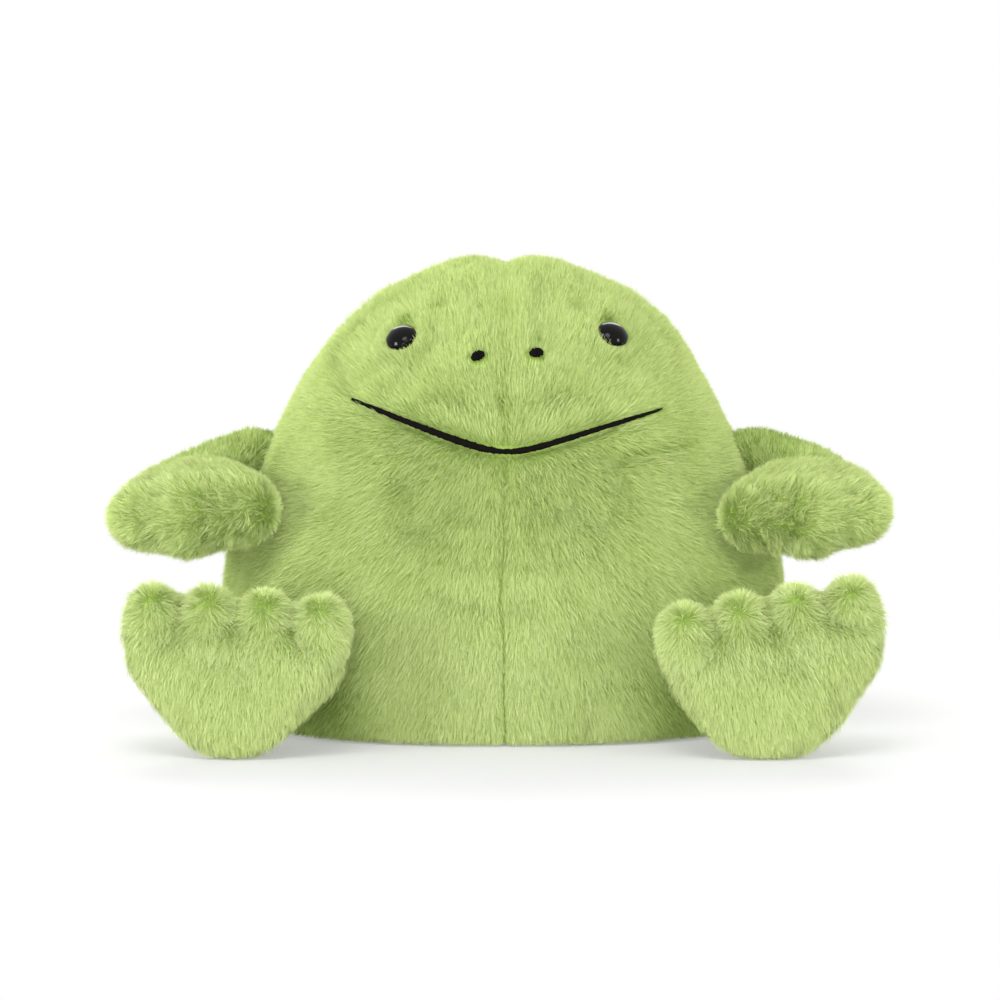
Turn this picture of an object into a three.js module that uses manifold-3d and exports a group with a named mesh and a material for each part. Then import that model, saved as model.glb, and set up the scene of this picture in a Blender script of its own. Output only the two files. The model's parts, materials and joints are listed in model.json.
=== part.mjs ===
// A small seated plush frog. The body and head are one stuffed dome, sewn from a left
// side, a right side and an oval base. Two padded arms end in three-fingered hands and
// two legs in upright four-toed feet. Each limb has a round root that turns in a hollow
// of the body, where the real one hinges at its seam.
// Millimetres, +Z up, the face looks along -Y.

import * as THREE from 'three';
import { mergeVertices } from 'three/addons/utils/BufferGeometryUtils.js';
import Module from 'manifold-3d';

const wasm = await Module();
wasm.setup();

// Cloth and fits
const plushThickness = 3; // backing and pile together
const touchGap = 0.3; // between pieces that touch
const turnGap = 0.8; // between a limb and the body that it turns past
const seatTrim = 0.5; // how deep a soft form is cut flat where it stands

// Body and head
const bodyWidth = 157;
const bodyHeight = 132;
const bellyDepth = 62; // from the side seams' plane to the front
const backDepth = 60;
const bodyPower = 2.2; // of the plan section, where 2 would be an ellipse
const baseHemWidth = 9; // the sides turn under by this much before the base panel begins
const bodyFacets = { sides: 36, levels: 14 };
const liningFacets = { sides: 22, levels: 9 };

// Height, side, front and back of the body's sections, from the seat to the crown
const bodyProfileShares = [
  [0, 0.84, 0.83, 0.83],
  [0.04, 0.92, 0.92, 0.92],
  [0.14, 0.975, 0.98, 0.975],
  [0.3, 1, 1, 1],
  [0.47, 0.94, 0.97, 0.955],
  [0.64, 0.81, 0.87, 0.84],
  [0.77, 0.705, 0.75, 0.71],
  [0.88, 0.565, 0.595, 0.545],
  [0.955, 0.375, 0.38, 0.35],
  [0.99, 0.185, 0.18, 0.17],
  [1, 0, 0, 0],
];

// How high things sit on the body
const eyeHeightShare = 0.845;
const nostrilHeightShare = 0.811;
const mouthHeightShare = 0.614;
const shoulderHeightShare = 0.538;
const hipHeightShare = 0.1667;

// Pouch of pellets in the seat of the body
const pouchWidth = 92;
const pouchDepth = 74;
const pouchHeight = 26;
const pouchSides = 20;
const pouchProfileShares = [
  [0, 0.86],
  [0.3, 1],
  [0.72, 0.86],
  [0.95, 0.5],
  [1, 0],
];

// Eyes: a domed button on a shank, held by a washer behind the cloth
const eyeDiameter = 8.4;
const eyeDome = 3.4;
const eyeRim = 0.8;
const eyeSink = 1.6; // of the rim's back below the pile
const eyeShankDiameter = 3;
const eyeShankLength = 9;
const eyeSpacing = 58.6;
const eyeHeight = eyeHeightShare * bodyHeight;
const faceShift = 1; // the face is sewn this far to the right of the middle seam
const washerDiameter = 11;
const washerThickness = 1.5;
const roundSides = 14;
const roundArcs = 3;

// Embroidery: nostrils and mouth
const nostrilWidth = 2.8;
const nostrilLength = 4;
const nostrilSpacing = 15.6;
const nostrilHeight = nostrilHeightShare * bodyHeight;
const mouthThread = 2.4;
const mouthWidth = 82;
const mouthHeight = mouthHeightShare * bodyHeight; // of its lowest point
const mouthRise = 12; // from its lowest point to its corners
const mouthBend = 10; // how far from the middle the line is still round
const mouthSteps = 20;
const threadSides = 8;

// Root of a limb: a ball in the body's hollow, then a neck where the seam draws it in
const rootRadius = 11;
const neckRadius = 8.5;
const rootSides = 14;
const rootArcs = 4;
const neckArcs = 2;

// Arms
const shoulderHeight = shoulderHeightShare * bodyHeight;
const shoulderTurnAngle = -2; // degrees round the body from its side, less than zero is forward
const shoulderRaiseAngle = 60; // degrees that an arm lifts from where it rests
const armRadius = 12;
const armLength = 19; // from the shoulder's middle to the wrist's
const armForwardAngle = 28; // degrees forward of straight out
const armDroopAngle = 12; // degrees below level
const handDipAngle = 7; // degrees that the fingers point below level
const handRollAngle = 3; // degrees that the hand's outer side lies lower
const handLength = 47; // from the wrist's middle to the fingertips
const handHalfThickness = 13.3;
const wristRadius = 13;
const palmRadius = 10.5;
const palmSpread = 10; // from the hand's middle line to the middle of each side of the palm
const palmReach = 18;
const fingerCount = 3;
const fingerRadius = 8.4;
const fingerPitch = 14.2;
const fingerStagger = 4; // how much shorter the outer fingers are
const fingerGatherShare = 0.6; // how far apart the fingers begin, of how far apart their tips are

// Legs and feet
const hipHeight = hipHeightShare * bodyHeight;
const hipTurnAngle = -37;
const hipSplayOutAngle = 40; // degrees that a leg swings outward
const hipSplayInAngle = 12;
const legRadius = 12.5;
const footMiddleDistance = 74.3; // from the body's middle plane to the foot's
const footForwardDistance = 78; // from the side seams' plane to the middle of the foot
const footHeight = 48;
const footHalfThickness = 11.5;
const heelRadius = 19.5;
const ballRadius = 11.2;
const ballSpread = 19.4; // from the foot's middle line to the middle of each side of its ball
const ballReach = 11; // from the heel's middle to the ball's
const toeCount = 4;
const toeRadius = 8;
const toePitch = 15.4;
const toeStagger = 1;
const toeGatherShare = 0.8;
const footLeanAngle = 8; // degrees that the toes lean back
const footYawAngle = 6; // degrees that the sole looks outward
const footRollAngles = { left: 3, right: 6 }; // degrees that the outer toes stand higher
const fanArcs = 3; // bands from a fan's rim to its middle, on each side
const fanLiningArcs = 2;
const digitSteps = 3; // of the outline, from a digit's tip to the notch beside it
const heelSteps = 20; // of the outline, round the heel from one outer tip to the other

// Colours
const green = '#b0c96e';
const fibre = '#f1efe8';
const linen = '#d9d2c2';
const black = '#0b0b0c';
const clearPlastic = '#e4e6e6';

const workSpan = 2 * (bodyWidth + bodyHeight); // longer than the frog each way
const bisections = 24;
const degrees = THREE.MathUtils.degToRad;

// Solids

function solidOf(geometry) {
  const bare = geometry.clone();
  bare.deleteAttribute('normal');
  bare.deleteAttribute('uv');
  const merged = mergeVertices(bare);
  const vertProperties = Float32Array.from(merged.attributes.position.array);
  const triVerts = Uint32Array.from(merged.index.array);
  return new wasm.Manifold(new wasm.Mesh({ numProp: 3, vertProperties, triVerts }));
}

function geometryOf(solid) {
  const { vertProperties, triVerts } = solid.getMesh();
  const geometry = new THREE.BufferGeometry();
  geometry.setAttribute('position', new THREE.BufferAttribute(Float32Array.from(vertProperties), 3));
  geometry.setIndex(new THREE.BufferAttribute(Uint32Array.from(triVerts), 1));
  return geometry;
}

// Closed skin over a row of rings: the first and the last ring are single points,
// and the others have equally many points each, anticlockwise seen from the last one.
function skinOver(rings) {
  const positions = [];
  const index = [];
  const starts = [];
  for (const ring of rings) {
    starts.push(positions.length / 3);
    for (const point of ring) positions.push(point.x, point.y, point.z);
  }
  for (let band = 0; band + 1 < rings.length; band += 1) {
    const low = rings[band].length;
    const high = rings[band + 1].length;
    for (let i = 0; i < Math.max(low, high); i += 1) {
      const a = starts[band] + (i % low);
      const b = starts[band] + ((i + 1) % low);
      const c = starts[band + 1] + ((i + 1) % high);
      const d = starts[band + 1] + (i % high);
      if (a !== b) index.push(a, b, c);
      if (c !== d) index.push(a, c, d);
    }
  }
  const geometry = new THREE.BufferGeometry();
  geometry.setAttribute('position', new THREE.Float32BufferAttribute(positions, 3));
  geometry.setIndex(index);
  return geometry;
}

// Everything on one side of the plane z = 0 of a frame, half a touching gap away from it
function halfSpace(frame, side) {
  const block = new THREE.BoxGeometry(workSpan, workSpan, workSpan);
  block.translate(0, 0, (side * (workSpan + touchGap)) / 2);
  return solidOf(block.applyMatrix4(frame));
}

function aboveFloor() {
  const block = new THREE.BoxGeometry(workSpan, workSpan, workSpan);
  return solidOf(block.translate(0, 0, workSpan / 2));
}

// Turned piece about a line that starts at a point and runs in a direction
function turned(outline, sides, start, direction) {
  const lathe = new THREE.LatheGeometry(outline, sides);
  const lay = new THREE.Quaternion().setFromUnitVectors(new THREE.Vector3(0, 1, 0), direction);
  lathe.applyQuaternion(lay);
  return solidOf(lathe.translate(start.x, start.y, start.z));
}

// Body surface

function signedPower(value, power) {
  return Math.sign(value) * Math.abs(value) ** power;
}

function planSection(side, front, back, height, count) {
  return Array.from({ length: count }, (_, i) => {
    const angle = (2 * Math.PI * i) / count;
    const x = side * signedPower(Math.cos(angle), 2 / bodyPower);
    const depth = Math.sin(angle) > 0 ? back : front;
    return new THREE.Vector3(x, depth * signedPower(Math.sin(angle), 2 / bodyPower), height);
  });
}

function profileCurve(rows, columns) {
  const points = rows.map((row) => new THREE.Vector3(...columns.map((column) => row[column])));
  return new THREE.CatmullRomCurve3(points, false, 'catmullrom');
}

const sideAndFront = profileCurve(bodyProfileShares, [0, 1, 2]);
const heightSideBack = profileCurve(bodyProfileShares, [0, 1, 3]);

// Half-widths and height of the body's section a share of the way along its profile
function bodySection(wayShare, inset) {
  const front = sideAndFront.getPoint(wayShare);
  const back = heightSideBack.getPoint(wayShare);
  return {
    height: inset + front.x * (bodyHeight - 2 * inset),
    side: front.y * (bodyWidth / 2 - inset),
    front: front.z * (bellyDepth - inset),
    back: back.z * (backDepth - inset),
  };
}

function sectionAtHeight(height) {
  let low = 0;
  let high = 1;
  for (let i = 0; i < bisections; i += 1) {
    const middle = (low + high) / 2;
    if (bodySection(middle, 0).height < height) low = middle;
    else high = middle;
  }
  return bodySection(low, 0);
}

function bodyForm(inset) {
  const { sides, levels } = inset > touchGap ? liningFacets : bodyFacets;
  const rings = [];
  for (let level = 0; level < levels; level += 1) {
    const { side, front, back, height } = bodySection(level / levels, inset);
    rings.push(planSection(side, front, back, height, sides));
  }
  const seat = new THREE.Vector3(0, 0, rings[0][0].z);
  const crown = new THREE.Vector3(0, 0, bodyHeight - inset);
  return solidOf(skinOver([[seat], ...rings, [crown]]));
}

// Point of the body's surface at a height, turned round from its right side
function flankPoint(height, turn) {
  const { side, front, back } = sectionAtHeight(height);
  const angle = degrees(turn);
  const depth = Math.sin(angle) > 0 ? back : front;
  const x = side * signedPower(Math.cos(angle), 2 / bodyPower);
  return new THREE.Vector3(x, depth * signedPower(Math.sin(angle), 2 / bodyPower), height);
}

// Point of the face straight behind a place in the front view
function facePoint(x, height) {
  const { side, front } = sectionAtHeight(height);
  const fall = (1 - Math.abs(x / side) ** bodyPower) ** (1 / bodyPower);
  return new THREE.Vector3(x, -front * fall, height);
}

function faceNormal(x, height) {
  const step = touchGap;
  const across = facePoint(x + step, height).sub(facePoint(x - step, height));
  const up = facePoint(x, height + step).sub(facePoint(x, height - step));
  return across.cross(up).normalize();
}

// Base panel and pouch

function basePanel(clearance) {
  const { side, front, back } = bodySection(0, 0);
  const grow = clearance - baseHemWidth;
  const heights = [-clearance, plushThickness + clearance];
  const rings = heights.map((height) => {
    return planSection(side + grow, front + grow, back + grow, height, bodyFacets.sides);
  });
  const bottom = new THREE.Vector3(0, 0, heights[0]);
  const top = new THREE.Vector3(0, 0, heights[1]);
  return solidOf(skinOver([[bottom], ...rings, [top]]));
}

function pelletPouch(clearance) {
  const curve = profileCurve(pouchProfileShares.map(([height, width]) => [height, width, 0]), [0, 1, 2]);
  const bottom = plushThickness + touchGap;
  const levels = pouchProfileShares.length + 1;
  const rings = [];
  for (let level = 0; level < levels; level += 1) {
    const { x: heightShare, y: widthShare } = curve.getPoint(level / levels);
    const side = (widthShare * pouchWidth) / 2 + clearance;
    const depth = (widthShare * pouchDepth) / 2 + clearance;
    const height = level === 0 ? bottom - clearance : bottom + heightShare * pouchHeight + clearance;
    rings.push(planSection(side, depth, depth, height, pouchSides));
  }
  const foot = new THREE.Vector3(0, 0, bottom - clearance);
  const top = new THREE.Vector3(0, 0, bottom + pouchHeight + clearance);
  return solidOf(skinOver([[foot], ...rings, [top]]));
}

// Face

function eyePlace(side) {
  const x = faceShift + (side * eyeSpacing) / 2;
  return { point: facePoint(x, eyeHeight), normal: faceNormal(x, eyeHeight) };
}

function eyeButton(side, clearance) {
  const { point, normal } = eyePlace(side);
  const back = -eyeSink;
  const rimRadius = eyeDiameter / 2 + clearance;
  const shankRadius = eyeShankDiameter / 2 + clearance;
  const domeBase = back + eyeRim;
  const tail = back - eyeShankLength - clearance;
  const outline = [new THREE.Vector2(0, tail), new THREE.Vector2(shankRadius, tail)];
  outline.push(new THREE.Vector2(shankRadius, back - clearance));
  outline.push(new THREE.Vector2(rimRadius, back - clearance));
  for (let arc = 0; arc < roundArcs; arc += 1) {
    const angle = (Math.PI / 2) * (arc / roundArcs);
    const height = domeBase + (eyeDome + clearance) * Math.sin(angle);
    outline.push(new THREE.Vector2(rimRadius * Math.cos(angle), height));
  }
  outline.push(new THREE.Vector2(0, domeBase + eyeDome + clearance));
  return turned(outline, roundSides, point, normal);
}

function eyeWasher(side, clearance) {
  const { point, normal } = eyePlace(side);
  const outer = washerDiameter / 2 + clearance;
  const inner = eyeShankDiameter / 2 + touchGap - clearance;
  const top = -plushThickness - touchGap + clearance;
  const bottom = top - washerThickness - 2 * clearance;
  const outline = [
    new THREE.Vector2(inner, bottom),
    new THREE.Vector2(outer, bottom),
    new THREE.Vector2(outer, top),
    new THREE.Vector2(inner, top),
    new THREE.Vector2(inner, bottom),
  ];
  return turned(outline, roundSides, point, normal);
}

// Satin-stitched oval, half sunk in the pile
function nostrilPad(side, clearance) {
  const point = facePoint(faceShift + (side * nostrilSpacing) / 2, nostrilHeight);
  const halfWidth = nostrilWidth / 2 + clearance;
  const halfLength = nostrilLength / 2 + clearance;
  const pad = new THREE.SphereGeometry(halfWidth, roundSides, 2 * roundArcs);
  pad.scale(halfLength / halfWidth, 1, 1);
  return solidOf(pad.translate(point.x, point.y, point.z));
}

function mouthLine(x) {
  const bendAt = (place) => Math.hypot(place, mouthBend) - mouthBend;
  return mouthHeight + (mouthRise * bendAt(x)) / bendAt(mouthWidth / 2);
}

// One thick line of stitches that lies over both side panels
function mouthStitch() {
  const radius = mouthThread / 2;
  const points = Array.from({ length: mouthSteps + 1 }, (_, i) => {
    const fromMiddle = THREE.MathUtils.lerp(-mouthWidth / 2, mouthWidth / 2, i / mouthSteps);
    const x = faceShift + fromMiddle;
    const height = mouthLine(fromMiddle);
    return facePoint(x, height).addScaledVector(faceNormal(x, height), radius + touchGap);
  });
  const section = Array.from({ length: threadSides }, (_, i) => {
    const angle = (2 * Math.PI * i) / threadSides;
    return new THREE.Vector2(Math.cos(angle), Math.sin(angle)).multiplyScalar(radius);
  });
  const extrudePath = new THREE.CatmullRomCurve3(points);
  const options = { steps: mouthSteps, bevelEnabled: false, extrudePath };
  return solidOf(new THREE.ExtrudeGeometry(new THREE.Shape(section), options));
}

// Fans: the flat padded form of a hand or a foot, its digits joined to one heel.
// The heel is at the frame's origin, the digits point along +Y and the thickness is along Z.

function digitPlaces({ count, pitch, reach, stagger, digitRadius }) {
  const middle = (count - 1) / 2;
  return Array.from({ length: count }, (_, i) => {
    const fromMiddle = middle - i;
    const drop = stagger * Math.abs(fromMiddle / middle);
    return new THREE.Vector2(fromMiddle * pitch, reach - digitRadius - drop);
  });
}

// Directions from a fan's middle that its outline is worked out in: every tip and every
// notch is one of them
function outlineAngles(middle, tips) {
  const angleOf = (place) => place.clone().sub(middle).angle();
  const marks = [angleOf(tips[0])];
  for (let i = 1; i < tips.length; i += 1) {
    marks.push(angleOf(tips[i - 1].clone().lerp(tips[i], 1 / 2)), angleOf(tips[i]));
  }
  const steps = marks.slice(1).map(() => digitSteps);
  marks.push(marks[0] + 2 * Math.PI);
  steps.push(heelSteps);
  return steps.flatMap((count, i) => Array.from({ length: count }, (_, k) => {
    return THREE.MathUtils.lerp(marks[i], marks[i + 1], k / count);
  }));
}

// Straight strips with round ends that the outline is the sum of: heel to each side of
// the pad, one side of the pad to the other, and the pad to each digit
function fanStrips(fan, tips, inset) {
  const heel = { place: new THREE.Vector2(), radius: fan.heelRadius - inset };
  const [near, far] = [-1, 1].map((side) => {
    return { place: new THREE.Vector2(side * fan.padSpread, fan.padReach), radius: fan.padRadius - inset };
  });
  const radius = fan.digitRadius - inset;
  const digits = tips.map((tip) => {
    const root = new THREE.Vector2(tip.x * fan.digitGatherShare, fan.padReach);
    return [{ place: root, radius }, { place: tip, radius }];
  });
  return [[heel, near], [heel, far], [near, far], ...digits];
}

function insideStrip([start, end], point) {
  const line = end.place.clone().sub(start.place);
  const along = THREE.MathUtils.clamp(point.clone().sub(start.place).dot(line) / line.lengthSq(), 0, 1);
  const radius = THREE.MathUtils.lerp(start.radius, end.radius, along);
  return point.distanceTo(start.place.clone().addScaledVector(line, along)) < radius;
}

function fanOutline(fan, inset) {
  const tips = digitPlaces(fan);
  const strips = fanStrips(fan, tips, inset);
  const middle = new THREE.Vector2(0, (fan.reach - fan.heelRadius) / 2);
  return outlineAngles(middle, tips).map((angle) => {
    const ray = new THREE.Vector2(Math.cos(angle), Math.sin(angle));
    let inside = 0;
    let outside = fan.reach + fan.heelRadius;
    for (let k = 0; k < bisections; k += 1) {
      const radius = (inside + outside) / 2;
      const point = middle.clone().addScaledVector(ray, radius);
      if (strips.some((strip) => insideStrip(strip, point))) inside = radius;
      else outside = radius;
    }
    return { middle, arm: ray.multiplyScalar(inside) };
  });
}

function paddedFan(fan, frame, inset) {
  const arcs = inset > touchGap ? fanLiningArcs : fanArcs;
  const outline = fanOutline(fan, inset);
  const halfThickness = fan.halfThickness - inset;
  const { middle } = outline[0];
  const rings = [];
  for (let arc = 1 - arcs; arc < arcs; arc += 1) {
    const angle = (Math.PI / 2) * (arc / arcs);
    const spread = Math.cos(angle);
    const height = halfThickness * Math.sin(angle);
    rings.push(outline.map(({ arm }) => {
      const x = middle.x + arm.x * spread;
      const y = middle.y + arm.y * spread;
      return new THREE.Vector3(x, y, height);
    }));
  }
  const back = new THREE.Vector3(middle.x, middle.y, -halfThickness);
  const front = new THREE.Vector3(middle.x, middle.y, halfThickness);
  return solidOf(skinOver([[back], ...rings, [front]]).applyMatrix4(frame));
}

// Round root, drawn-in neck and tapering stem of a limb, from its joint to its fan
function limbStem(start, end, stemRadius, inset) {
  const along = end.clone().sub(start);
  const length = along.length();
  const ball = rootRadius - inset;
  const neck = neckRadius - inset;
  const neckHeight = Math.sqrt(ball ** 2 - neck ** 2);
  const neckAngle = Math.asin(neckHeight / ball);
  const outline = [];
  for (let arc = 0; arc <= rootArcs; arc += 1) {
    const angle = THREE.MathUtils.lerp(-Math.PI / 2, neckAngle, arc / rootArcs);
    outline.push(new THREE.Vector2(arc === 0 ? 0 : ball * Math.cos(angle), ball * Math.sin(angle)));
  }
  const shoulder = 2 * neckHeight;
  for (let arc = 1; arc <= neckArcs; arc += 1) {
    const share = arc / neckArcs;
    const radius = THREE.MathUtils.lerp(neck, stemRadius - inset, share);
    outline.push(new THREE.Vector2(radius, THREE.MathUtils.lerp(neckHeight, shoulder, share)));
  }
  outline.push(new THREE.Vector2(stemRadius - inset, length));
  outline.push(new THREE.Vector2(0, length));
  return turned(outline, rootSides, start, along.normalize());
}

// Round hollow that a limb's root turns in: its flat facets clear the root's corners
function rootHollow(centre) {
  const radius = (rootRadius + touchGap) / Math.cos(Math.PI / rootSides) ** 2;
  const ball = new THREE.SphereGeometry(radius, rootSides, rootSides / 2);
  return solidOf(ball.translate(centre.x, centre.y, centre.z));
}

// The body as a limb meets it while it turns from rest to the ends of its range
function bodyRoundJoint({ start, axis, turns }, inset) {
  return turns.map((turn) => {
    const clearance = inset + (turn === 0 ? touchGap : turnGap);
    const geometry = geometryOf(bodyForm(-clearance).subtract(rootHollow(start)));
    const swing = new THREE.Matrix4().makeRotationAxis(axis, -degrees(turn));
    const placed = new THREE.Matrix4().setPosition(start).multiply(swing);
    placed.multiply(new THREE.Matrix4().setPosition(start.clone().negate()));
    return solidOf(geometry.applyMatrix4(placed));
  });
}

function cutBy(solid, tools) {
  return tools.reduce((rest, tool) => rest.subtract(tool), solid);
}

// Cloth in two panels on either side of the frame's plane z = 0, and the filling in them
function stuffedLimb(limb) {
  const { fan, frame, start, end, stemRadius } = limb;
  const form = (inset) => {
    const whole = paddedFan(fan, frame, inset).add(limbStem(start, end, stemRadius, inset));
    return cutBy(whole, bodyRoundJoint(limb, inset));
  };
  const cloth = form(0).intersect(aboveFloor()).subtract(form(plushThickness));
  return {
    front: cloth.intersect(halfSpace(frame, 1)),
    back: cloth.intersect(halfSpace(frame, -1)),
    filling: form(plushThickness + touchGap),
  };
}

function frameOf(across, along, out, origin) {
  const frame = new THREE.Matrix4().makeBasis(across, along, out);
  return frame.setPosition(origin);
}

// Arm on the +X side: a stem out to the wrist, and a hand laid nearly level from there.
// It lifts about a line through the shoulder that runs forward.
function armForm() {
  const start = flankPoint(shoulderHeight, shoulderTurnAngle);
  const level = Math.cos(degrees(armDroopAngle));
  const out = new THREE.Vector3(
    level * Math.cos(degrees(armForwardAngle)),
    -level * Math.sin(degrees(armForwardAngle)),
    -Math.sin(degrees(armDroopAngle)),
  );
  const end = start.clone().addScaledVector(out, armLength);
  const turn = new THREE.Euler(degrees(handDipAngle), degrees(handRollAngle), 0, 'ZXY');
  const fingers = new THREE.Vector3(0, -1, 0).applyEuler(turn);
  const up = new THREE.Vector3(0, 0, 1).applyEuler(turn);
  const across = fingers.clone().cross(up);
  const fan = {
    count: fingerCount,
    pitch: fingerPitch,
    reach: handLength,
    stagger: fingerStagger,
    digitRadius: fingerRadius,
    digitGatherShare: fingerGatherShare,
    heelRadius: wristRadius,
    padRadius: palmRadius,
    padSpread: palmSpread,
    padReach: palmReach,
    halfThickness: handHalfThickness,
  };
  const axis = new THREE.Vector3(0, -1, 0);
  const turns = [0, shoulderRaiseAngle / 2, shoulderRaiseAngle];
  return { fan, frame: frameOf(across, fingers, up, end), start, end, stemRadius: armRadius, axis, turns };
}

// Leg on the +X side: the sole looks forward, and the stem meets the fan's back.
// It swings about an upright line through the hip.
function legForm(roll) {
  const start = flankPoint(hipHeight, hipTurnAngle);
  const fan = {
    count: toeCount,
    pitch: toePitch,
    reach: footHeight - heelRadius,
    stagger: toeStagger,
    digitRadius: toeRadius,
    digitGatherShare: toeGatherShare,
    heelRadius,
    padRadius: ballRadius,
    padSpread: ballSpread,
    padReach: ballReach,
    halfThickness: footHalfThickness,
  };
  const turn = new THREE.Euler(degrees(-footLeanAngle), degrees(-roll), degrees(footYawAngle), 'ZXY');
  const across = new THREE.Vector3(1, 0, 0).applyEuler(turn);
  const toes = new THREE.Vector3(0, 0, 1).applyEuler(turn);
  const sole = across.clone().cross(toes);
  const heelRise = heelRadius * Math.cos(degrees(footLeanAngle)) - seatTrim;
  const heel = new THREE.Vector3(footMiddleDistance, -footForwardDistance, heelRise);
  const end = heel.clone().setZ((heelRise + hipHeight) / 2);
  const axis = new THREE.Vector3(0, 0, 1);
  const turns = [-hipSplayInAngle, 0, hipSplayOutAngle];
  return { fan, frame: frameOf(across, toes, sole, heel), start, end, stemRadius: legRadius, axis, turns };
}

// Assembly

const plush = { color: green, roughness: 0.95, metalness: 0 };
const wadding = { color: fibre, roughness: 1, metalness: 0 };
const cotton = { color: linen, roughness: 0.9, metalness: 0 };
const thread = { color: black, roughness: 0.7, metalness: 0 };
const glossyButton = { color: black, roughness: 0.08, metalness: 0 };
const washerPlastic = { color: clearPlastic, roughness: 0.4, metalness: 0 };

function pieceOf(name, solid, finish) {
  const mesh = new THREE.Mesh(geometryOf(solid), new THREE.MeshStandardMaterial(finish));
  mesh.name = name;
  return mesh;
}

// The same piece for the other side of the frog
function mirrorPiece(mesh) {
  const { geometry } = mesh;
  geometry.scale(-1, 1, 1);
  const corners = geometry.index.array;
  for (let i = 0; i < corners.length; i += 3) [corners[i], corners[i + 1]] = [corners[i + 1], corners[i]];
}

// Group that stands at a limb's joint, with the limb's pieces in it
function limbGroup(side, pieces, joint) {
  const group = new THREE.Group();
  for (const mesh of pieces) {
    mesh.geometry.translate(-joint.x, -joint.y, -joint.z);
    if (side === 'left') mirrorPiece(mesh);
    group.add(mesh);
  }
  group.position.set(side === 'left' ? -joint.x : joint.x, joint.y, joint.z);
  return group;
}

function armGroup(side) {
  const arm = armForm();
  const { front, back, filling } = stuffedLimb(arm);
  const pieces = [
    pieceOf(`${side}_arm_upper_panel`, front, plush),
    pieceOf(`${side}_arm_lower_panel`, back, plush),
    pieceOf(`${side}_arm_filling`, filling, wadding),
  ];
  return limbGroup(side, pieces, arm.start);
}

function legGroup(side) {
  const leg = legForm(footRollAngles[side]);
  const { front, back, filling } = stuffedLimb(leg);
  const pieces = [
    pieceOf(`${side}_leg_sole_panel`, front, plush),
    pieceOf(`${side}_leg_upper_panel`, back, plush),
    pieceOf(`${side}_leg_filling`, filling, wadding),
  ];
  return limbGroup(side, pieces, leg.start);
}

function bodyGroup() {
  const sides = [-1, 1];
  const joints = [armForm().start, legForm(0).start];
  const hollows = joints.flatMap((joint) => sides.map((side) => {
    return rootHollow(new THREE.Vector3(side * joint.x, joint.y, joint.z));
  }));
  const eyeRecesses = sides.flatMap((side) => [eyeButton(side, touchGap), eyeWasher(side, touchGap)]);
  const stitchRecesses = sides.map((side) => nostrilPad(side, touchGap));
  const cloth = bodyForm(0).subtract(bodyForm(plushThickness));
  const sewn = cutBy(cloth, [basePanel(touchGap), ...hollows, ...eyeRecesses, ...stitchRecesses]);
  const inside = bodyForm(plushThickness + touchGap);
  const stuffing = cutBy(inside, [pelletPouch(touchGap), ...hollows, ...eyeRecesses]);
  const middle = (out) => frameOf(
    new THREE.Vector3(0, out, 0),
    new THREE.Vector3(0, 0, 1),
    new THREE.Vector3(out, 0, 0),
    new THREE.Vector3(),
  );
  const group = new THREE.Group();
  group.add(pieceOf('body_left_panel', sewn.intersect(halfSpace(middle(-1), 1)), plush));
  group.add(pieceOf('body_right_panel', sewn.intersect(halfSpace(middle(1), 1)), plush));
  group.add(pieceOf('base_panel', basePanel(0), plush));
  group.add(pieceOf('body_filling', stuffing, wadding));
  group.add(pieceOf('pellet_pouch', pelletPouch(0), cotton));
  for (const side of sides) {
    const name = side < 0 ? 'left' : 'right';
    group.add(pieceOf(`${name}_eye`, eyeButton(side, 0), glossyButton));
    group.add(pieceOf(`${name}_eye_washer`, eyeWasher(side, 0), washerPlastic));
    group.add(pieceOf(`${name}_nostril`, nostrilPad(side, 0), thread));
  }
  group.add(pieceOf('mouth_stitching', mouthStitch(), thread));
  return group;
}

const frog = new THREE.Group();
frog.add(bodyGroup());
for (const side of ['left', 'right']) frog.add(armGroup(side), legGroup(side));

// The origin is below the middle of the whole frog, on the surface that it sits on
const extent = new THREE.Box3().setFromObject(frog);
const middle = extent.getCenter(new THREE.Vector3());
frog.position.set(-middle.x, -middle.y, -extent.min.z);

export default frog;
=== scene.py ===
"""A small seated plush frog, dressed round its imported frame: sewn and stuffed covers, combed
pile, stitched mouth and nostrils, and button eyes. Metres, +Z up, the face looks along -Y."""

import json
import math

import bmesh
import bpy
import numpy as np
from mathutils import Matrix, Vector


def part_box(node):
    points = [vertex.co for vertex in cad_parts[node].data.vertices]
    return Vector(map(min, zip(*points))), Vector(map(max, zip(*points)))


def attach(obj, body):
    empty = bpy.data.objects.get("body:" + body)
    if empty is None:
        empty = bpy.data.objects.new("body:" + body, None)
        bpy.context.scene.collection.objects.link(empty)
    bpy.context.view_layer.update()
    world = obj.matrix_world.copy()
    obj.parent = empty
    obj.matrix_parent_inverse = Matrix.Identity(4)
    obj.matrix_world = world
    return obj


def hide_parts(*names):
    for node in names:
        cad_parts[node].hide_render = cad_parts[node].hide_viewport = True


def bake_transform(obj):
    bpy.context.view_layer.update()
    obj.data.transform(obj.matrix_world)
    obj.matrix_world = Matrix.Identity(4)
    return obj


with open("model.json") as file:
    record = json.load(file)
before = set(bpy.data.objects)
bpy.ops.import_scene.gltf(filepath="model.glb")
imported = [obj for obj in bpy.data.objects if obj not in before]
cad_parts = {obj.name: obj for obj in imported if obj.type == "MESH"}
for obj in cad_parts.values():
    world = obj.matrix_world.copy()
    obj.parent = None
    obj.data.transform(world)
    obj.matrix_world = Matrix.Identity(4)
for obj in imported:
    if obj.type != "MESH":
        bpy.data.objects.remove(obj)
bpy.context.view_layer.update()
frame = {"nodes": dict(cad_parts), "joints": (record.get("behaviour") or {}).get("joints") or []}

MM = 0.001
PILE_DEPTH = 2.3 * MM  # how far the backing cloth lies under the tips of the pile
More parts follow.
